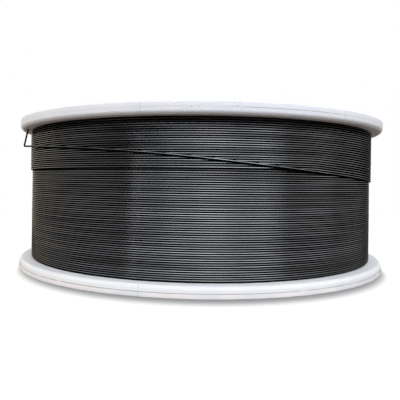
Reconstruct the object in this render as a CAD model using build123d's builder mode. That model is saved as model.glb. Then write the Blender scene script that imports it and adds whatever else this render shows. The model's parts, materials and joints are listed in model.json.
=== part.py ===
"""Spool of welding wire: a moulded plastic spool, the winding on it and the fastened outer end of the wire.

Millimetres. The spool lies on one flange: its axis is Z, and the origin is the middle of the lower end face.
Angles are about Z from +X, and the front of the spool is at -Y.
"""
import math
import os

from build123d import *

# Spool body
flange_diameter = 270
spool_width = 103
rim_thickness = 6.6
rim_ring_width = 9
rim_outer_chamfer = 1
rim_inner_chamfer = 1.8
parting_height = 2.8
parting_step = 0.3
plate_thickness = 3.6
barrel_wall = 3.2
barrel_ring_width = 4
bore_diameter = 52
hub_wall = 3.5
bore_chamfer = 1

# Webs between hub and barrel, ribs on the flanges
web_count = 8
web_thickness = 2.6
web_setback = 3
rib_count = 24
rib_width = 2.4
root_overlap = 0.5

# Holes for the drive pin of the wire feeder, and for the wire's end
drive_hole_diameter = 11
drive_hole_offset = 44.5
drive_hole_count = 2
drive_boss_wall = 2.8
anchor_hole_diameter = 4
anchor_hole_count = 2
anchor_hole_setback = 5.8
anchor_angle = 202.5

# Wire and winding
wire_diameter = 1.2
wire_sides = 12
flange_overhang = 8.2
winding_depth = 41.8
top_layer_width = 28.2
winding_clearance = 0.1

# Outer end of the wire: a strand that slants over the top layer, and a tail hooked into the flange
strand_clearance = 0.06
strand_tilt = 5.1
crossing_angle = -59
settling_angle = 44
last_turn_angle = 170
tail_length = 31
tail_bend_radius = 1.8
tail_insertion = 4.5

# Sizes that follow from those above
flange_radius = flange_diameter / 2
rim_ring_radius = flange_radius - rim_ring_width
anchor_radius = flange_radius - anchor_hole_setback
plate_recess = rim_thickness - plate_thickness
winding_radius = flange_radius - flange_overhang
barrel_radius = winding_radius - winding_depth
barrel_inner_radius = barrel_radius - barrel_wall
barrel_ring_radius = barrel_radius + barrel_ring_width
bore_radius = bore_diameter / 2
hub_radius = bore_radius + hub_wall
half_width = spool_width / 2
lower_face = rim_thickness
upper_face = spool_width - rim_thickness
wire_radius = wire_diameter / 2
layer_rise = wire_diameter * math.sqrt(3) / 2
top_layer_radius = winding_radius + layer_rise
top_layer_edge = upper_face - top_layer_width
strand_radius = top_layer_radius + wire_radius + strand_clearance


def mould_half_spool():
    """The lower half of the spool, from its lower end face to the middle of its width."""
    with BuildPart() as half:
        with BuildSketch(Plane.XZ) as section:
            with BuildLine():
                Polyline(
                    (barrel_inner_radius, 0),
                    (barrel_ring_radius, 0),
                    (barrel_ring_radius, plate_recess),
                    (rim_ring_radius, plate_recess),
                    (rim_ring_radius, 0),
                    (flange_radius, 0),
                    (flange_radius, parting_height),
                    (flange_radius - parting_step, parting_height),
                    (flange_radius - parting_step, rim_thickness),
                    (barrel_radius, rim_thickness),
                    (barrel_radius, half_width),
                    (barrel_inner_radius, half_width),
                    close=True,
                )
            make_face()
            rim_foot = section.vertices().sort_by_distance((flange_radius, 0))[0]
            chamfer(rim_foot, rim_outer_chamfer)
            rim_top = section.vertices().sort_by_distance((flange_radius, rim_thickness))[0]
            chamfer(rim_top, rim_inner_chamfer)
            with BuildLine():
                Polyline(
                    (bore_radius + bore_chamfer, 0),
                    (hub_radius, 0),
                    (hub_radius, half_width),
                    (bore_radius, half_width),
                    (bore_radius, bore_chamfer),
                    close=True,
                )
            make_face()
        revolve(axis=Axis.Z)

        web_span = barrel_inner_radius - hub_radius
        with BuildSketch(Plane.XY.offset(web_setback)):
            with PolarLocations(hub_radius + web_span / 2, web_count):
                Rectangle(web_span + 2 * root_overlap, web_thickness)
        extrude(amount=half_width - web_setback)

        rib_span = rim_ring_radius - barrel_ring_radius
        with BuildSketch():
            with PolarLocations(barrel_ring_radius + rib_span / 2, rib_count):
                Rectangle(rib_span + 2 * root_overlap, rib_width)
        extrude(amount=plate_recess)

        with BuildSketch():
            with PolarLocations(drive_hole_offset, drive_hole_count):
                Circle(drive_hole_diameter / 2 + drive_boss_wall)
        extrude(amount=half_width)
    return half.part


def mould_spool():
    """Both halves in one piece, with the holes that run along the axis."""
    with BuildPart() as spool:
        add(mould_half_spool())
        mirror(about=Plane.XY.offset(half_width))
        with Locations((0, 0, spool_width)):
            with PolarLocations(drive_hole_offset, drive_hole_count):
                Hole(drive_hole_diameter / 2, depth=spool_width)
            with PolarLocations(anchor_radius, anchor_hole_count, start_angle=anchor_angle):
                Hole(anchor_hole_diameter / 2, depth=rim_thickness)
    return spool.part


def wind_coil():
    """All the turns as one turned ring on the barrel, with the step where the outermost layer stops."""
    with BuildPart() as coil:
        with BuildSketch(Plane.XZ):
            with BuildLine():
                Polyline(
                    (barrel_radius + winding_clearance, lower_face + winding_clearance),
                    (winding_radius, lower_face + winding_clearance),
                    (winding_radius, top_layer_edge),
                    (top_layer_radius, top_layer_edge),
                    (top_layer_radius, upper_face - winding_clearance),
                    (barrel_radius + winding_clearance, upper_face - winding_clearance),
                    close=True,
                )
            make_face()
        revolve(axis=Axis.Z)
    return coil.part


def lay_wire_end():
    """The last turn of wire: off the edge of the top layer, round the back, across the front, into the flange."""
    slope = math.tan(math.radians(strand_tilt))
    crossing_height = top_layer_edge - wire_radius - strand_clearance
    crossing_x = strand_radius * math.cos(math.radians(crossing_angle))
    front_height = crossing_height + crossing_x * slope

    def on_slant(radius, angle):
        flat = Vector(radius, 0).rotate(Axis.Z, angle)
        return flat + Vector(0, 0, front_height - flat.X * slope)

    leaving_angle = anchor_angle - 360 + math.degrees(math.atan(tail_length / strand_radius))
    settled_radius = winding_radius + wire_radius + strand_clearance
    halfway_radius = (strand_radius + settled_radius) / 2
    crossing = on_slant(strand_radius, crossing_angle)
    middle = on_slant(strand_radius, (crossing_angle + leaving_angle) / 2)
    leaving = on_slant(strand_radius, leaving_angle)
    halfway = on_slant(halfway_radius, crossing_angle + settling_angle / 2)
    settled = on_slant(settled_radius, crossing_angle + settling_angle)
    start = Vector(settled_radius, 0, crossing_height).rotate(Axis.Z, last_turn_angle)
    anchor = Vector(anchor_radius, 0, upper_face + tail_insertion).rotate(Axis.Z, anchor_angle)

    with BuildPart() as wire_end:
        with BuildLine() as route:
            across = ThreePointArc(crossing, middle, leaving)
            dip = TangentArc(crossing, halfway, tangent=-(across % 0))
            landing = TangentArc(halfway, settled, tangent=dip % 1)
            TangentArc(settled, start, tangent=landing % 1)
            bend = leaving + (across % 1) * tail_length
            FilletPolyline(leaving, bend, anchor, radius=tail_bend_radius)
        path = route.wire()
        with BuildSketch(Plane(origin=path @ 0, z_dir=path % 0)):
            RegularPolygon(wire_radius, wire_sides)
        sweep(path=path)
    return wire_end.part


os.makedirs("parts", exist_ok=True)

spool_part = mould_spool()
spool_part.label = "spool"
export_step(spool_part, "parts/spool.step")

coil_part = wind_coil()
coil_part.label = "wire_coil"
export_step(coil_part, "parts/wire_coil.step")

wire_end_part = lay_wire_end()
wire_end_part.label = "wire_end"
export_step(wire_end_part, "parts/wire_end.step")
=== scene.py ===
"""Looks of a spool of welding wire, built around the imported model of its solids.

Sizes are in millimetres and become metres where a mesh, a material or the camera is made. Lamps are in
metres. Angles are in degrees about Z from +X, and the front of the spool, which the camera sees, is at -Y.
"""
import json
import math

import bmesh
import bpy
import numpy as np
from mathutils import Matrix, Vector


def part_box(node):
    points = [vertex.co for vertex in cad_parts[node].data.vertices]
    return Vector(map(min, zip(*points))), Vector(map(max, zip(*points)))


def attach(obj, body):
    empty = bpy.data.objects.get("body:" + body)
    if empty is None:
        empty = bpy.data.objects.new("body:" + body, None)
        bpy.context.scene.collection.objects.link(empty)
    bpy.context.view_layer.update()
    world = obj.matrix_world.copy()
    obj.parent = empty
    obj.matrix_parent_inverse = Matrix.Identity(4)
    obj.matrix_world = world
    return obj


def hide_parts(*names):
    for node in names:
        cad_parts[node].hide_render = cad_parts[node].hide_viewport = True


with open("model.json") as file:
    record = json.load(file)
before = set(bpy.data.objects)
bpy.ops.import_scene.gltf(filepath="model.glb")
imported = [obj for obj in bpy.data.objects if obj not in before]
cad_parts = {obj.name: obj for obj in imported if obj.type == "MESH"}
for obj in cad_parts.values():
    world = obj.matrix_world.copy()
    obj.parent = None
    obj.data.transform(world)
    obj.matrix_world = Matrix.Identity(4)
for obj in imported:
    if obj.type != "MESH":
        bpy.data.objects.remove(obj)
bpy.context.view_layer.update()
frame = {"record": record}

MM = 0.001
white = (1, 1, 1)
random_seed = 7
random_numbers = np.random.default_rng(random_seed)

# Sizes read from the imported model
mounts = {mount["name"]: mount for mount in frame["record"]["mounts"]}
flange_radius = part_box("spool")[1].x / MM
spool_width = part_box("spool")[1].z / MM
coil_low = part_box("wire_coil")[0].z / MM
coil_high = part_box("wire_coil")[1].z / MM
top_layer_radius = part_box("wire_coil")[1].x / MM
bore_radius = mounts["hub_bore"]["dims"]["r_mm"]
drive_hole_radius = mounts["drive_hole_right"]["dims"]["r_mm"]
drive_hole_offset = mounts["drive_hole_right"]["pos_m"][0] / MM

# Spool mouldings
rim_thickness = 6.6
rim_ring_width = 9
rim_outer_rounding = 0.5
rim_inner_chamfer = 1.3
rim_inner_slope = 1.8
rim_inner_rounding = 2
chamfer_foot_rounding = 0.25
parting_height = 2.8
parting_step = 0.3
upper_parting_step = 0.06
plate_thickness = 3.6
barrel_radius = 85
barrel_wall = 3.2
barrel_ring_width = 4
hub_wall = 3.5
edge_rounding = 0.5
bore_rounding = 1
web_count = 8
web_thickness = 2.6
web_setback = 3
web_rounding = 0.4
rib_count = 24
rib_width = 2.4
rib_setback = 0.2
root_overlap = 0.5
drive_boss_wall = 2.8
anchor_hole_radius = 2
anchor_hole_setback = 5.8
anchor_angles = (202.5, 22.5)
drill_overshoot = 1
drill_core = 0.001

# Fineness of the mouldings
arc_step = 18
flange_segments = 360
hub_segments = 120
boss_segments = 60
hole_segments = 24
sharp_angle = 40
moulded_sharp_angle = 35

# Wire and winding
wire_radius = 0.6
turn_pitch = 1.24
layer_rise = 1.039
top_layer_edge = 68.2
layer_overlap = 3
core_setback = 0.1
turn_columns = 192
wire_sides = 12
half_wire_rows = 9

# Uneven turns: each sway has a size, its waves in a turn, and the height in which they shift by a radian
turn_sways = ((0.05, 2, 9), (0.04, 3, -5))
sway_start_turns = 4
lay_wander = 0.012
top_lay_wander = 0.015
depth_wander = 0.02
lay_aims = 5
depth_aims = 6
draw_power = 1.5

# Outer end of the wire
strand_tilt = 5.1
strand_bow = 0.75
bow_angles = (-138, -58)
strand_clearance = 0.06
crossing_angle = -59
crossing_span = 16
settled_angle = -15
last_turn_angle = 170
front_angle = 270
tail_length = 31
tail_bend_radius = 1.6
tail_insertion = 4.5

# Points along each stretch of the tail: first share, last share and count
run_shares = (0.1, 0.95, 12)
bend_shares = (0, 1, 9)
rise_shares = (0.05, 1, 8)

# Places that follow from those above
half_width = spool_width / 2
rim_ring_radius = flange_radius - rim_ring_width
anchor_radius = flange_radius - anchor_hole_setback
plate_recess = rim_thickness - plate_thickness
barrel_inner_radius = barrel_radius - barrel_wall
barrel_ring_radius = barrel_radius + barrel_ring_width
hub_radius = bore_radius + hub_wall
boss_radius = drive_hole_radius + drive_boss_wall
upper_face = spool_width - rim_thickness
top_centre_radius = top_layer_radius - wire_radius
lower_centre_radius = top_centre_radius - layer_rise
strand_radius = top_layer_radius + wire_radius + strand_clearance

# Marks on the rims, with half widths
mark_depths = (1.8, 1.2)
rosy_setback = 0.2
seam_offset = 0.05
seam_width = 0.12
upper_seam_width = 0.14
seam_softness = 0.15
upper_line_angle = -66
upper_line_width = 12
upper_line_softness = 4
tick_angles = (-103.55, -52.1)
tick_widths = (0.07, 0.05)
tick_softness = 0.08
scuff_angles = (-91.8, -81.8, -31.3)
scuff_widths = (1.9, 0.8, 1.5)
scuff_softness = 0.6
scuff_edge = 0.3

# Plastic: colours, the noise scales in a metre, and the bands of noise in which each colour sets in
lower_tints = ((0.80, 0.82, 0.87), (0.83, 0.835, 0.855))
# Painted shade: the upper flange gets darker, bluer tints than the lower one, blending between the heights
# below
painted_shade_upper_tints = ((0.76, 0.78, 0.86), (0.805, 0.815, 0.86))
painted_shade_heights = (50, 90)
# A pinkish tone below the lower parting line, made lighter than the rim as painted light against the floor's
# shade there
rosy_lightened_tint = (0.89, 0.855, 0.88)
grime_tint = (0.41, 0.39, 0.39)
upper_grime_tint = (0.52, 0.51, 0.53)
tick_tint = (0.60, 0.59, 0.60)
scuff_tint = (0.60, 0.59, 0.61)
speck_tint = (0.52, 0.50, 0.49)
patch_scale = 45
grain_scale = 900
dash_scale = 160
scratch_scale = 800
tint_band = (0.35, 0.7)
rosy_band = (0.35, 0.6)
grime_band = (0.2, 0.5)
tick_band = (0.35, 0.6)
scuff_band = (0.58, 0.66)
speck_band = (0.71, 0.76)
plastic_roughness = (0.5, 0.7)
grain_strength = 0.25
grain_depth = 0.2

# Wire: colours, noise, and how each turn's crest faces
wire_tints = ((0.083, 0.085, 0.090), (0.203, 0.206, 0.215))
worn_tint = (0.138, 0.14, 0.146)
# Painted shade: the colour and the reflection's tint in the grooves and on the lower side of each turn
painted_groove_shade = (0.006, 0.006, 0.006)
painted_groove_reflection_shade = (0.15, 0.15, 0.15)
wire_roughness = (0.17, 0.25)
around_scale = 1.2
upward_scale = 800
worn_scale = 30
turn_band = (0.3, 0.7)
worn_band = (0.55, 0.8)
# The bright crest band, tilted up towards the lamps; outside it the painted shade sets in
crest_tilt = 17
painted_shade_crest_edges = (16, 9)
crest_flatness = 6

# Painted contact shade on the turns just under the edge of the top layer
inner_layer_depths = (0.6, 0.8)
edge_shade_rise = 1.6
edge_shade_reach = 2.1
edge_shade_softness = 0.9
edge_shade_share = 0.3

# Camera, with the photograph's frame in pixels
image_size = 400
focal_pixels = 479.9
principal_x = 184.6
principal_y = 181.5
camera_distance = 383.05
camera_height = 61.07
camera_yaw = 1.72
camera_roll = 0.70
camera_clip = 10
sensor_width = 36

# Light, where 1 shows a surface at its own colour
fill_light = 0.36
horizon_light = 1
ceiling_light = 0.25
corner_light = 0.3
corner_tint = (1, 0.88, 0.72)
lamp_distance = 1.25
lamp_height = 0.72

# Parts of the surround, as bands of its direction: upwards, or backwards and sideways
ceiling_band = (0.3, 0.7)
right_corner = ((0.3, 0.8), (0, 0.2))
left_corner = ((-0.2, 0.6), (0, -0.5))

# Floor, with a painted shadow round the spool's foot and a darker one under it
floor_reach = 6000
floor_fade = (300, 600)
mirrored_floor = 0.1
floor_colour = (0.24, 0.192, 0.152)
floor_glow = (0.86, 0.89, 0.912)
# Painted shadow: glow colours in the spool's shade and under its barrel
painted_shadow_glow = (0.10, 0.145, 0.195)
painted_inner_shadow_glow = (0.05, 0.058, 0.066)
inner_edges = (90, 120)
shade_offset = (1, -11)
shade_ahead = (-10.5, 7.5)
shade_beside = (-5.5, -3)


def unit(vectors):
    """The same vectors, one in each row, with length 1."""
    return vectors / np.linalg.norm(vectors, axis=-1, keepdims=True)


def ease(share):
    """A smooth step from 0 to 1 as share goes from 0 to 1."""
    share = np.clip(share, 0, 1)
    return share * share * (3 - 2 * share)


def around(radius, angle, height):
    """Points at a radius, an angle in degrees and a height."""
    turn = np.radians(angle)
    return np.stack(np.broadcast_arrays(radius * np.cos(turn), radius * np.sin(turn), height), axis=-1)


def make_object(name, data):
    """A new object in the scene for a mesh, a lamp or a camera."""
    piece = bpy.data.objects.new(name, data)
    bpy.context.scene.collection.objects.link(piece)
    return piece


def make_mesh(name, vertices, faces):
    """A smooth mesh with its normals outward and its sharp edges marked, from millimetres."""
    mesh = bpy.data.meshes.new(name)
    mesh.from_pydata(np.asarray(vertices) * MM, [], faces)
    shaped = bmesh.new()
    shaped.from_mesh(mesh)
    bmesh.ops.recalc_face_normals(shaped, faces=shaped.faces)
    shaped.to_mesh(mesh)
    shaped.free()
    mesh.shade_smooth()
    mesh.set_sharp_from_angle(angle=math.radians(sharp_angle))
    return mesh


def make_piece(name, shape):
    """A new object for a shape, which is vertices and faces."""
    return make_object(name, make_mesh(name, *shape))


def rounded(corners):
    """A closed outline through (radius, height, rounding) corners, with an arc at each rounded corner."""
    outline = []
    for index, corner in enumerate(corners):
        here = Vector(corner[:2])
        rounding = corner[2]
        back = (Vector(corners[index - 1][:2]) - here).normalized()
        ahead = (Vector(corners[(index + 1) % len(corners)][:2]) - here).normalized()
        half_turn = back.angle(ahead) / 2
        centre = here + (back + ahead).normalized() * rounding / math.sin(half_turn)
        first = here + back * rounding / math.tan(half_turn) - centre
        sweep = math.copysign(math.pi - 2 * half_turn, back.cross(ahead) * -1)
        steps = math.ceil(math.degrees(abs(sweep)) / arc_step) if rounding else 0
        for step in range(steps + 1):
            spoke = Matrix.Rotation(sweep * step / max(steps, 1), 2) @ first
            outline.append(centre + spoke)
    return outline


def turned(outline, segments, centre=(0, 0)):
    """Vertices and faces of a closed (radius, height) outline turned about an upright axis."""
    vertices = []
    faces = []
    count = len(outline)
    for segment in range(segments):
        angle = 2 * math.pi * segment / segments
        for radius, height in outline:
            x = centre[0] + radius * math.cos(angle)
            y = centre[1] + radius * math.sin(angle)
            vertices.append((x, y, height))
        start = segment * count
        following = (segment + 1) % segments * count
        for row in range(count):
            beside = (row + 1) % count
            faces.append((start + row, start + beside, following + beside, following + row))
    return vertices, faces


def joined(shapes):
    """Vertices and faces of several shapes as one."""
    vertices = []
    faces = []
    for shape_vertices, shape_faces in shapes:
        offset = len(vertices)
        vertices += [tuple(vertex) for vertex in shape_vertices]
        faces += [tuple(index + offset for index in face) for face in shape_faces]
    return vertices, faces


def block(inner, outer, width, low, high, angle):
    """Vertices and faces of a box that lies along a radius."""
    corners = []
    for height in (low, high):
        for along, side in ((inner, -1), (outer, -1), (outer, 1), (inner, 1)):
            corners.append(Vector((along, side * width / 2, height)))
    turn = Matrix.Rotation(math.radians(angle), 3, "Z")
    sides = [(0, 1, 5, 4), (1, 2, 6, 5), (2, 3, 7, 6), (3, 0, 4, 7)]
    return [turn @ corner for corner in corners], [(3, 2, 1, 0), (4, 5, 6, 7)] + sides


def combine(base, shapes, operation, softened=0):
    """Joins shapes to the base object, or cuts them from it, for good."""
    mesh = make_mesh(operation.lower(), *joined(shapes))
    if softened:
        shaped = bmesh.new()
        shaped.from_mesh(mesh)
        bmesh.ops.bevel(shaped, geom=shaped.edges[:], offset=softened * MM, segments=2, affect="EDGES")
        shaped.to_mesh(mesh)
        shaped.free()
    tool = make_object(operation.lower(), mesh)
    modifier = base.modifiers.new(operation.lower(), "BOOLEAN")
    modifier.object = tool
    modifier.operation = operation
    modifier.solver = "MANIFOLD"
    evaluated = base.evaluated_get(bpy.context.evaluated_depsgraph_get())
    result = bpy.data.meshes.new_from_object(evaluated)
    base.modifiers.clear()
    base.data = result
    bpy.data.objects.remove(tool)


def flange_outline(step):
    """Corners of the lower flange and barrel as (radius, height, rounding), with the parting line's step."""
    return [
        (barrel_inner_radius, 0, edge_rounding),
        (barrel_ring_radius, 0, edge_rounding),
        (barrel_ring_radius, plate_recess, edge_rounding),
        (rim_ring_radius, plate_recess, edge_rounding),
        (rim_ring_radius, 0, edge_rounding),
        (flange_radius, 0, rim_outer_rounding),
        (flange_radius, parting_height, step / 3),
        (flange_radius - step, parting_height, step / 3),
        (flange_radius - step, rim_thickness - rim_inner_chamfer, rim_inner_rounding),
        (flange_radius - step - rim_inner_slope, rim_thickness, chamfer_foot_rounding),
        (barrel_radius, rim_thickness, edge_rounding),
    ]


def pipe(inner, outer, inner_rounding):
    """Outline of an upright pipe through the whole width of the spool."""
    corners = [
        (inner, 0, inner_rounding),
        (outer, 0, edge_rounding),
        (outer, spool_width, edge_rounding),
        (inner, spool_width, inner_rounding),
    ]
    return rounded(corners)


def hub_and_bosses():
    """The hub tube, and the bosses round the drive holes."""
    boss = pipe(drive_hole_radius, boss_radius, edge_rounding)
    rings = [turned(pipe(bore_radius, hub_radius, bore_rounding), hub_segments)]
    for offset in (drive_hole_offset, -drive_hole_offset):
        rings.append(turned(boss, boss_segments, centre=(offset, 0)))
    return rings


def webs():
    """The webs from hub to barrel, of which those that meet a boss stop in its wall."""
    boss_wall_middle = drive_hole_radius + drive_boss_wall / 2
    hub_root = hub_radius - root_overlap
    barrel_root = barrel_inner_radius + root_overlap
    boss_inner_root = drive_hole_offset - boss_wall_middle
    boss_outer_root = drive_hole_offset + boss_wall_middle
    blocks = []
    for index in range(web_count):
        angle = 360 * index / web_count
        spans = [(hub_root, barrel_root)]
        if angle % 180 == 0:
            spans = [(hub_root, boss_inner_root), (boss_outer_root, barrel_root)]
        for inner, outer in spans:
            blocks.append(block(inner, outer, web_thickness, web_setback, spool_width - web_setback, angle))
    return blocks


def ribs():
    """The ribs in the recesses of both end faces."""
    inner = barrel_ring_radius - root_overlap
    outer = rim_ring_radius + root_overlap
    lower_span = (rib_setback, plate_recess + root_overlap)
    upper_span = (spool_width - plate_recess - root_overlap, spool_width - rib_setback)
    blocks = []
    for index in range(rib_count):
        angle = 360 * index / rib_count
        for low, high in (lower_span, upper_span):
            blocks.append(block(inner, outer, rib_width, low, high, angle))
    return blocks


def anchor_drills():
    """The drills for the wire holes in the upper flange."""
    low = upper_face - drill_overshoot
    high = spool_width + drill_overshoot
    outline = [(drill_core, low), (anchor_hole_radius, low), (anchor_hole_radius, high), (drill_core, high)]
    drills = []
    for angle in anchor_angles:
        x, y, _ = around(anchor_radius, angle, 0)
        drills.append(turned(outline, hole_segments, centre=(x, y)))
    return drills


def build_spool():
    """The moulded spool: flanges and barrel turned in one, then hub, webs, ribs, bosses and wire holes."""
    lower = flange_outline(parting_step)
    upper = []
    for radius, height, rounding in reversed(flange_outline(upper_parting_step)):
        upper.append((radius, spool_width - height, rounding))
    spool = make_piece("moulded_spool", turned(rounded(lower + upper), flange_segments))
    combine(spool, hub_and_bosses(), "UNION")
    combine(spool, webs(), "UNION", softened=web_rounding)
    combine(spool, ribs(), "UNION", softened=web_rounding)
    combine(spool, anchor_drills(), "DIFFERENCE")
    spool.data.shade_smooth()
    spool.data.set_sharp_from_angle(angle=math.radians(moulded_sharp_angle))
    return spool


def tube(points, outward, section):
    """Vertices and faces of a closed tube: a section of (outward, sideways) places carried along points."""
    along = unit(np.gradient(points, axis=0))
    outward = unit(outward - np.sum(outward * along, axis=1, keepdims=True) * along)
    sideways = np.cross(along, outward)
    raised = section[None, :, :1] * outward[:, None]
    shifted = section[None, :, 1:] * sideways[:, None]
    vertices = points[:, None] + raised + shifted
    columns, rows = vertices.shape[:2]
    index = np.arange(columns * rows).reshape(columns, rows)
    here = index[:-1]
    there = index[1:]
    quads = np.stack([here, np.roll(here, -1, 1), np.roll(there, -1, 1), there], axis=-1).reshape(-1, 4)
    faces = quads.tolist() + [index[0][::-1].tolist(), index[-1].tolist()]
    return vertices.reshape(-1, 3), faces


def round_section():
    """The whole round of the wire."""
    angle = np.arange(wire_sides) * 2 * np.pi / wire_sides
    return wire_radius * np.stack([np.cos(angle), np.sin(angle)], axis=-1)


def half_section():
    """The outer half of the wire, with a flat back where other turns hide it."""
    angle = np.linspace(-np.pi / 2, np.pi / 2, half_wire_rows)
    return wire_radius * np.stack([np.cos(angle), np.sin(angle)], axis=-1)


def wander(count, spacing, size):
    """Random offsets about zero that change smoothly, with a new aim in each so many steps."""
    aims = random_numbers.normal(0, size, count // spacing + 2)
    place = np.arange(count) / spacing
    before = place.astype(int)
    return aims[before] + (aims[before + 1] - aims[before]) * ease(place - before)


def build_winding():
    """The finished layer in view, wound upwards on a plain core that stands for the layers inside."""
    first_height = coil_low + wire_radius
    turns = math.ceil((top_layer_edge + layer_overlap - first_height) / turn_pitch)
    columns = turns * turn_columns + 1
    turn = np.arange(columns) / turn_columns
    angle = front_angle - 180 - 360 * turn
    height = first_height + turn_pitch * turn
    sway = 0
    for size, waves, shift in turn_sways:
        sway = sway + size * np.sin(np.radians(waves * angle) + height / shift)
    unevenness = wander(columns, turn_columns // lay_aims, lay_wander)
    height = height + sway * ease(turn / sway_start_turns) + unevenness
    radius = lower_centre_radius + wander(columns, turn_columns // depth_aims, depth_wander)
    layer = tube(around(radius, angle, height), around(1, angle, 0), half_section())

    layer_top = height[-1] + wire_radius
    core = [
        (barrel_radius + core_setback, coil_low),
        (lower_centre_radius - core_setback, coil_low),
        (lower_centre_radius - core_setback, layer_top),
        (top_centre_radius - wire_radius, layer_top),
        (top_centre_radius - wire_radius, coil_high),
        (barrel_radius + core_setback, coil_high),
    ]
    return make_piece("winding", joined([turned(core, turn_columns), layer]))


def strand_height(angle):
    """Height of the slanting strand, a turn in a tilted plane that is bowed upwards at the front."""
    slope = math.tan(math.radians(strand_tilt))
    crossing_height = top_layer_edge - wire_radius - strand_clearance
    front_height = crossing_height + strand_radius * math.cos(math.radians(crossing_angle)) * slope
    share = np.clip((angle - bow_angles[0]) / (bow_angles[1] - bow_angles[0]), 0, 1)
    bow = strand_bow * np.sin(np.pi * share) ** 2
    return front_height - strand_radius * np.cos(np.radians(angle)) * slope + bow


def layer_height(angle):
    """Height of the last even turn of the top layer, if it went on at its own pitch."""
    return top_layer_edge + wire_radius + turn_pitch * (angle + 360 - front_angle) / 360


def last_turn_height(angle):
    """Height of the wire from where the top layer ends to where it crosses that layer's edge."""
    lowest = strand_height(settled_angle)
    finish = layer_height(last_turn_angle - 360)
    behind = lowest + (finish - lowest) * ease((angle - settled_angle) / (last_turn_angle - settled_angle))
    return np.where(angle < settled_angle, strand_height(angle), behind)


def build_top_layer():
    """The unfinished outer layer, wound downwards, with its lower turns drawn after the last one."""
    first_height = coil_high - wire_radius
    finish = layer_height(last_turn_angle - 360)
    turns = (first_height - finish) / turn_pitch
    columns = int(turns * turn_columns) + 1
    turn = np.linspace(0, turns, columns)
    angle = last_turn_angle + 360 * (turns - turn)
    height = first_height - turn_pitch * turn
    place = (angle - crossing_angle) % 360 + crossing_angle
    drawn = layer_height(place - 360) - last_turn_height(place)
    drawn = np.where(place > last_turn_angle, 0, drawn)
    unevenness = wander(columns, turn_columns // lay_aims, top_lay_wander)
    height = height - drawn * (turn / turns) ** draw_power + unevenness
    radius = top_centre_radius + wander(columns, turn_columns // depth_aims, depth_wander)
    layer = tube(around(radius, angle, height), around(1, angle, 0), round_section())
    return make_piece("top_layer", layer)


def tail_points(leaving, along):
    """Points of the tail, which runs on straight from the strand, bends up and ends in its hole."""
    corner = leaving + along * tail_length
    anchor = around(anchor_radius, anchor_angles[0], upper_face + tail_insertion)
    upward = unit(anchor - corner)
    half_turn = math.acos(np.dot(-along, upward)) / 2
    setback = tail_bend_radius / math.tan(half_turn)
    centre = corner + unit(upward - along) * tail_bend_radius / math.sin(half_turn)
    first = corner - along * setback - centre
    last = corner + upward * setback - centre
    run_places, bend_places, rise_places = (
        np.linspace(*shares)[:, None] for shares in (run_shares, bend_shares, rise_shares)
    )
    run = leaving + along * (tail_length - setback) * run_places
    bend = centre + unit(first + (last - first) * bend_places) * tail_bend_radius
    rise = corner + upward * setback + (anchor - corner - upward * setback) * rise_places
    return [run, bend, rise]


def build_wire_end():
    """The last turn: round the back, across the front over the top layer, and up into the flange."""
    leaving_angle = anchor_angles[0] - 360 + math.degrees(math.atan(tail_length / strand_radius))
    columns = int((last_turn_angle - leaving_angle) / 360 * turn_columns)
    angle = np.linspace(last_turn_angle, leaving_angle, columns)
    height = np.where(angle < crossing_angle, strand_height(angle), last_turn_height(angle))
    climb = ease((crossing_angle + crossing_span / 2 - angle) / crossing_span)
    turns = around(top_centre_radius + (strand_radius - top_centre_radius) * climb, angle, height)
    points = np.concatenate([turns, *tail_points(turns[-1], unit(turns[-1] - turns[-2]))])
    outward = points * (1, 1, 0)
    return make_piece("last_turn", tube(points, outward, round_section()))


def add_node(tree, kind, inputs=None, **settings):
    """A new shader node, with its settings, and with inputs that are values or other nodes' outputs."""
    node = tree.nodes.new(kind)
    for name, value in settings.items():
        setattr(node, name, value)
    for name, value in (inputs or {}).items():
        if isinstance(value, bpy.types.NodeSocket):
            tree.links.new(value, node.inputs[name])
        else:
            node.inputs[name].default_value = value
    return node


def new_material(name):
    """A material with a bare surface shader."""
    material = bpy.data.materials.new(name)
    material.use_nodes = True
    return material, material.node_tree, material.node_tree.nodes["Principled BSDF"]


def number(tree, operation, *values):
    """The result of an operation on numbers."""
    return add_node(tree, "ShaderNodeMath", dict(enumerate(values)), operation=operation).outputs["Value"]


def vector_node(tree, operation, vectors):
    """A node for an operation on vectors."""
    return add_node(tree, "ShaderNodeVectorMath", dict(enumerate(vectors)), operation=operation)


def vector(tree, operation, *vectors):
    """The vector that an operation on vectors gives."""
    return vector_node(tree, operation, vectors).outputs["Vector"]


def measure(tree, operation, *vectors):
    """The number that an operation on vectors gives."""
    return vector_node(tree, operation, vectors).outputs["Value"]


def coordinates(tree, place):
    """The separate coordinates of a place or a direction."""
    node = add_node(tree, "ShaderNodeSeparateXYZ", {"Vector": place})
    return node.outputs["X"], node.outputs["Y"], node.outputs["Z"]


def band(tree, value, low, high):
    """A share that rises from 0 to 1 as a value goes from low to high."""
    limits = {"Value": value, "From Min": low, "From Max": high}
    return add_node(tree, "ShaderNodeMapRange", limits, interpolation_type="SMOOTHSTEP").outputs["Result"]


def near(tree, value, centre, reach, softness):
    """A share that is 1 close to a value and falls to 0 beside it."""
    distance = number(tree, "ABSOLUTE", number(tree, "SUBTRACT", value, centre))
    limits = {"From Min": reach, "From Max": reach + softness, "To Min": 1, "To Max": 0}
    return add_node(tree, "ShaderNodeMapRange", {"Value": distance, **limits}).outputs["Result"]


def near_angle(tree, turn, angle, reach, softness):
    """A share that is 1 close to an angle about the axis, from degrees."""
    return near(tree, turn, math.radians(angle), math.radians(reach), math.radians(softness))


def spread(tree, value, low, high):
    """A value of 0 to 1, spread from low to high."""
    limits = {"Value": value, "To Min": low, "To Max": high}
    return add_node(tree, "ShaderNodeMapRange", limits).outputs["Result"]


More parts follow.
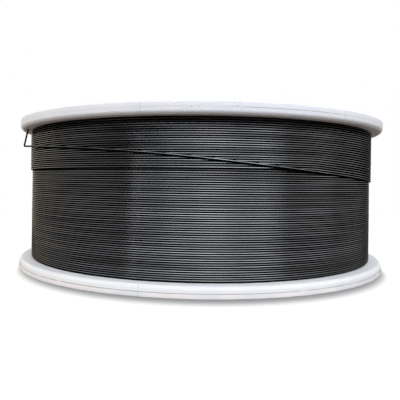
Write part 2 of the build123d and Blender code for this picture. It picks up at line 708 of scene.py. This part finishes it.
def mixed(tree, share, first, second):
    """A colour between two, each a colour or another node's output."""
    ends = [(*colour, 1) if isinstance(colour, tuple) else colour for colour in (first, second)]
    inputs = {"Factor": share, "A": ends[0], "B": ends[1]}
    return add_node(tree, "ShaderNodeMix", inputs, data_type="RGBA").outputs["Result"]


def blended(tree, share, first, second):
    """A number between two, each a number or another node's output."""
    inputs = {"Factor": share, "A": first, "B": second}
    return add_node(tree, "ShaderNodeMix", inputs, data_type="FLOAT").outputs["Result"]


def both(tree, *shares):
    """The product of several shares."""
    result = shares[0]
    for share in shares[1:]:
        result = number(tree, "MULTIPLY", result, share)
    return result


def noise(tree, place, scale, detail=3):
    """A noise value at a scale."""
    inputs = {"Vector": place, "Scale": scale, "Detail": detail}
    return add_node(tree, "ShaderNodeTexNoise", inputs).outputs["Fac"]


def axis_directions(tree, place):
    """The direction from the axis to a place, and its distance from the axis."""
    flat = vector(tree, "MULTIPLY", place, (1, 1, 0))
    return vector(tree, "NORMALIZE", flat), measure(tree, "LENGTH", flat)


def white_plastic():
    """Bluish white plastic, with painted shade darkening the upper flange and painted light on a pinkish
    band below the lower parting line. Grime in the parting lines, mould ticks, scuffs and specks on the
    rims.
    """
    material, tree, shader = new_material("white_plastic")
    place = add_node(tree, "ShaderNodeTexCoord").outputs["Object"]
    x, y, height = coordinates(tree, place)
    turn = number(tree, "ARCTAN2", y, x)
    _, radius = axis_directions(tree, place)
    on_rim = band(tree, radius, *((flange_radius - depth) * MM for depth in mark_depths))
    rim_face = rim_thickness - rim_inner_chamfer
    on_upper_rim = near(tree, height, spool_width * MM, rim_face * MM, scuff_edge * MM)

    patches = noise(tree, place, patch_scale)
    grain = noise(tree, place, grain_scale, detail=4)
    dashes = noise(tree, place, dash_scale, detail=2)
    scratches = noise(tree, place, scratch_scale)

    tinted = band(tree, patches, *tint_band)
    # Painted shade: the upper part of the spool takes the darker upper tints
    lower_colour = mixed(tree, tinted, *lower_tints)
    painted_shade_upper_colour = mixed(tree, tinted, *painted_shade_upper_tints)
    upwards = band(tree, height, *(level * MM for level in painted_shade_heights))
    colour = mixed(tree, upwards, lower_colour, painted_shade_upper_colour)

    # Pinkish tone and painted light: the band below the lower parting line is lighter than the rest of the
    # rim
    below_seam = near(tree, height, 0, (parting_height - rosy_setback) * MM, rosy_setback * MM)
    rosy = both(tree, below_seam, on_rim, band(tree, patches, *rosy_band))
    colour = mixed(tree, rosy, colour, rosy_lightened_tint)

    grimy = both(tree, on_rim, band(tree, dashes, *grime_band))
    seam = near(tree, height, (parting_height + seam_offset) * MM, seam_width * MM, seam_softness * MM)
    colour = mixed(tree, both(tree, seam, grimy), colour, grime_tint)
    upper_seam_height = spool_width - parting_height
    upper_seam = near(tree, height, upper_seam_height * MM, upper_seam_width * MM, seam_softness * MM)
    lined = near_angle(tree, turn, upper_line_angle, upper_line_width, upper_line_softness)
    colour = mixed(tree, both(tree, upper_seam, lined, grimy), colour, upper_grime_tint)

    for tick_angle, tick_width in zip(tick_angles, tick_widths):
        tick = near_angle(tree, turn, tick_angle, tick_width, tick_softness)
        ticked = both(tree, tick, on_rim, band(tree, scratches, *tick_band))
        colour = mixed(tree, ticked, colour, tick_tint)
    for scuff_angle, scuff_width in zip(scuff_angles, scuff_widths):
        scuff = near_angle(tree, turn, scuff_angle, scuff_width, scuff_softness)
        scuffed = both(tree, scuff, on_upper_rim, on_rim, band(tree, scratches, *scuff_band))
        colour = mixed(tree, scuffed, colour, scuff_tint)
    colour = mixed(tree, both(tree, on_rim, band(tree, scratches, *speck_band)), colour, speck_tint)

    bump_inputs = {"Strength": grain_strength, "Distance": grain_depth * MM, "Height": grain}
    bump = add_node(tree, "ShaderNodeBump", bump_inputs)
    tree.links.new(colour, shader.inputs["Base Color"])
    tree.links.new(spread(tree, patches, *plastic_roughness), shader.inputs["Roughness"])
    tree.links.new(bump.outputs["Normal"], shader.inputs["Normal"])
    return material


def crest(tree, outward):
    """The share of bright crest on each turn of wire, 0 in the grooves and on the lower side, which the wire
    uses as a mask for painted shade, and a normal flattened on it.
    """
    normal = add_node(tree, "ShaderNodeTexCoord").outputs["Normal"]
    raised = vector(tree, "ADD", outward, (0, 0, math.tan(math.radians(crest_tilt))))
    towards = vector(tree, "NORMALIZE", raised)
    facing = measure(tree, "DOT_PRODUCT", towards, normal)
    share = band(tree, facing, *(math.cos(math.radians(angle)) for angle in painted_shade_crest_edges))

    pull_inputs = {0: towards, "Scale": blended(tree, share, 0, crest_flatness)}
    pull = add_node(tree, "ShaderNodeVectorMath", pull_inputs, operation="SCALE")
    leaning = vector(tree, "ADD", normal, pull.outputs["Vector"])
    frames = {"vector_type": "NORMAL", "convert_from": "OBJECT", "convert_to": "WORLD"}
    in_world = add_node(tree, "ShaderNodeVectorTransform", {"Vector": leaning}, **frames)
    return share, in_world.outputs["Vector"]


def dark_wire():
    """Drawn steel wire, a little flat on its crests, with painted shade: near-black colour and dimmed
    reflections in the grooves and on the lower side of each turn.
    """
    material, tree, shader = new_material("dark_wire")
    place = add_node(tree, "ShaderNodeTexCoord").outputs["Object"]
    _, _, height = coordinates(tree, place)
    outward, radius = axis_directions(tree, place)
    climb = vector(tree, "MULTIPLY", place, (0, 0, upward_scale))
    along = vector(tree, "MULTIPLY_ADD", outward, (around_scale, around_scale, 0), climb)
    turns = noise(tree, along, 1, detail=2)
    patches = noise(tree, place, worn_scale)

    share, normal = crest(tree, outward)
    # Painted contact shade: the bright crest is dimmed on the inner layer just under the top layer's edge
    inner_layer = band(tree, radius, *((top_layer_radius - depth) * MM for depth in inner_layer_depths))
    shade_height = top_layer_edge + edge_shade_rise
    under_edge = near(tree, height, shade_height * MM, edge_shade_reach * MM, edge_shade_softness * MM)
    share = both(tree, share, blended(tree, both(tree, inner_layer, under_edge), 1, edge_shade_share))

    colour = mixed(tree, band(tree, turns, *turn_band), *wire_tints)
    colour = mixed(tree, band(tree, patches, *worn_band), colour, worn_tint)
    # Painted shade: outside the crest band the colour and the reflection's tint go nearly black
    colour = mixed(tree, share, painted_groove_shade, colour)
    tree.links.new(colour, shader.inputs["Base Color"])
    tree.links.new(mixed(tree, share, painted_groove_reflection_shade, white), shader.inputs["Specular Tint"])
    tree.links.new(spread(tree, turns, *wire_roughness), shader.inputs["Roughness"])
    tree.links.new(normal, shader.inputs["Normal"])
    shader.inputs["Metallic"].default_value = 1
    return material


def seen_in_mirrors(tree, rays):
    """1 for mirrored and refracted rays, otherwise 0."""
    return number(tree, "MAXIMUM", rays.outputs["Is Glossy Ray"], rays.outputs["Is Transmission Ray"])


def open_floor(tree, place):
    """The share of open floor, 0 under the spool and 1 beyond its painted shadow, which is softer in front.
    """
    from_shade = vector(tree, "SUBTRACT", place, (shade_offset[0] * MM, shade_offset[1] * MM, 0))
    _, forward, _ = coordinates(tree, vector(tree, "NORMALIZE", from_shade))
    ahead = number(tree, "ABSOLUTE", forward)
    edges = []
    for beside, front in zip(shade_beside, shade_ahead):
        edges.append(blended(tree, ahead, (flange_radius + beside) * MM, (flange_radius + front) * MM))
    return band(tree, measure(tree, "LENGTH", from_shade), *edges)


def pale_floor():
    """A floor material, white to the camera, dimmer in mirrored rays, and with a painted shadow close to the
    spool.
    """
    material, tree, shader = new_material("floor")
    tree.nodes.remove(shader)
    rays = add_node(tree, "ShaderNodeLightPath")
    place = add_node(tree, "ShaderNodeTexCoord").outputs["Object"]
    distance = measure(tree, "LENGTH", place)
    mirrored = blended(tree, seen_in_mirrors(tree, rays), 0, mirrored_floor)
    strength = blended(tree, rays.outputs["Is Camera Ray"], mirrored, 1)

    # Painted shadow: the camera's glow darkens near the spool and more under it
    past_barrel = band(tree, distance, *(edge * MM for edge in inner_edges))
    shaded = mixed(tree, past_barrel, painted_inner_shadow_glow, painted_shadow_glow)
    glow_colour = mixed(tree, open_floor(tree, place), shaded, floor_glow)
    lit = add_node(tree, "ShaderNodeBsdfDiffuse", {"Color": (*floor_colour, 1)})
    glow = add_node(tree, "ShaderNodeEmission", {"Color": glow_colour, "Strength": strength})
    close = add_node(tree, "ShaderNodeAddShader", {0: lit.outputs["BSDF"], 1: glow.outputs["Emission"]})
    far = add_node(tree, "ShaderNodeEmission", {"Color": (*white, 1), "Strength": strength})
    fade = band(tree, distance, *(edge * MM for edge in floor_fade))
    whole_inputs = {"Fac": fade, 1: close.outputs["Shader"], 2: far.outputs["Emission"]}
    whole = add_node(tree, "ShaderNodeMixShader", whole_inputs)
    tree.links.new(whole.outputs["Shader"], tree.nodes["Material Output"].inputs["Surface"])
    return material


def add_floor():
    """A square floor under the spool."""
    reach = floor_reach * MM
    corners = [(-reach, -reach, 0), (reach, -reach, 0), (reach, reach, 0), (-reach, reach, 0)]
    mesh = bpy.data.meshes.new("floor")
    mesh.from_pydata(corners, [], [(0, 1, 2, 3)])
    mesh.materials.append(pale_floor())
    floor = make_object("floor", mesh)


def add_world():
    """A white surround for the camera. Mirrored rays see a dimmer ceiling, a dim corner and a warm one."""
    world = bpy.data.worlds.new("surround")
    bpy.context.scene.world = world
    world.use_nodes = True
    tree = world.node_tree
    background = tree.nodes["Background"]
    rays = add_node(tree, "ShaderNodeLightPath")
    mirrored = seen_in_mirrors(tree, rays)
    x, y, z = coordinates(tree, add_node(tree, "ShaderNodeTexCoord").outputs["Generated"])
    behind_right, behind_left = (
        both(tree, band(tree, y, *backwards), band(tree, x, *sideways))
        for backwards, sideways in (right_corner, left_corner)
    )
    room = blended(tree, band(tree, z, *ceiling_band), horizon_light, ceiling_light)
    room = blended(tree, behind_right, room, corner_light)
    unseen = blended(tree, mirrored, fill_light, room)
    warm = both(tree, mirrored, behind_left)
    tree.links.new(mixed(tree, warm, white, corner_tint), background.inputs["Color"])
    tree.links.new(blended(tree, rays.outputs["Is Camera Ray"], unseen, 1), background.inputs["Strength"])


def add_softbox(name, azimuth, elevation, width, share, height=lamp_height, distance=lamp_distance,
                colour=white, mirrored=True):
    """A soft lamp turned to the spool, with its azimuth from the front towards +X.

    A share of 1 lights a surface that faces the lamp at the surface's own colour.
    """
    data = bpy.data.lights.new(name, "AREA")
    data.shape = "RECTANGLE"
    data.size = width
    data.size_y = height
    data.color = colour
    data.energy = share * (math.pi * distance) ** 2
    lamp = make_object(name, data)
    lamp.visible_glossy = mirrored
    tilt = Matrix.Rotation(math.radians(90 - elevation), 4, "X")
    turn = Matrix.Rotation(math.radians(azimuth), 4, "Z") @ tilt
    middle = Matrix.Translation((0, 0, half_width * MM))
    lamp.matrix_world = middle @ turn @ Matrix.Translation((0, 0, distance))


def add_lamps():
    """Wide boxes in front, one overhead, some at the sides and one behind. The two low ones only fill."""
    add_softbox("key", azimuth=9, elevation=29, width=0.40, share=0.06, colour=(1.06, 1, 0.93))
    add_softbox("middle", azimuth=12.5, elevation=29, width=1.34, share=0.25, colour=(0.95, 1, 1.05))
    add_softbox("wide", azimuth=8.5, elevation=29, width=2.1, share=0.52, colour=(0.96, 1, 1.04))
    add_softbox("streak", azimuth=-39.5, elevation=22, width=0.09, share=0.03, height=0.5)
    add_softbox("overhead", azimuth=0, elevation=65, width=1.2, share=0.12, height=0.6, distance=1.4)
    add_softbox("right", azimuth=66, elevation=29, width=1.1, share=0.11)
    low_fill = {"elevation": 3, "width": 0.9, "height": 0.25, "mirrored": False}
    add_softbox("low_right", azimuth=80, share=0.07, colour=(1.06, 1, 0.94), **low_fill)
    add_softbox("left", azimuth=-88, share=0.30, colour=(1.1, 1, 0.84), **low_fill)
    add_softbox("left_wall", azimuth=-86, elevation=17, width=1.6, share=0.07)
    add_softbox("right_wall", azimuth=97, elevation=15, width=1.3, share=0.035)
    add_softbox("back", azimuth=180, elevation=40, width=1.2, share=0.4)


def add_camera():
    """The camera at the photograph's place, without pitch, with the shift for its off-centre framing."""
    data = bpy.data.cameras.new("camera")
    data.sensor_width = sensor_width
    data.lens = focal_pixels / image_size * sensor_width
    data.shift_x = (image_size / 2 - principal_x) / image_size
    data.shift_y = (principal_y - image_size / 2) / image_size
    data.clip_start = camera_clip * MM
    camera = make_object("camera", data)
    turn = Matrix.Rotation(math.radians(camera_yaw), 4, "Z") @ Matrix.Rotation(math.radians(90), 4, "X")
    roll = Matrix.Rotation(math.radians(camera_roll), 4, "Z")
    camera.matrix_world = Matrix.Translation((0, -camera_distance * MM, camera_height * MM)) @ turn @ roll
    bpy.context.scene.camera = camera


plastic = white_plastic()
wire = dark_wire()
for piece, node, material, slot in (
    (build_spool(), "spool", plastic, "spool_plastic"),
    (build_winding(), "wire_coil", wire, "wire_steel"),
    (build_top_layer(), "wire_coil", wire, "wire_steel"),
    (build_wire_end(), "wire_end", wire, "wire_steel"),
):
    piece.data.materials.clear()
    piece.data.materials.append(material)
    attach(piece, "root")
    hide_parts(node)

add_floor()
add_world()
add_lamps()
add_camera()
bpy.context.scene.view_settings.view_transform = "Standard"
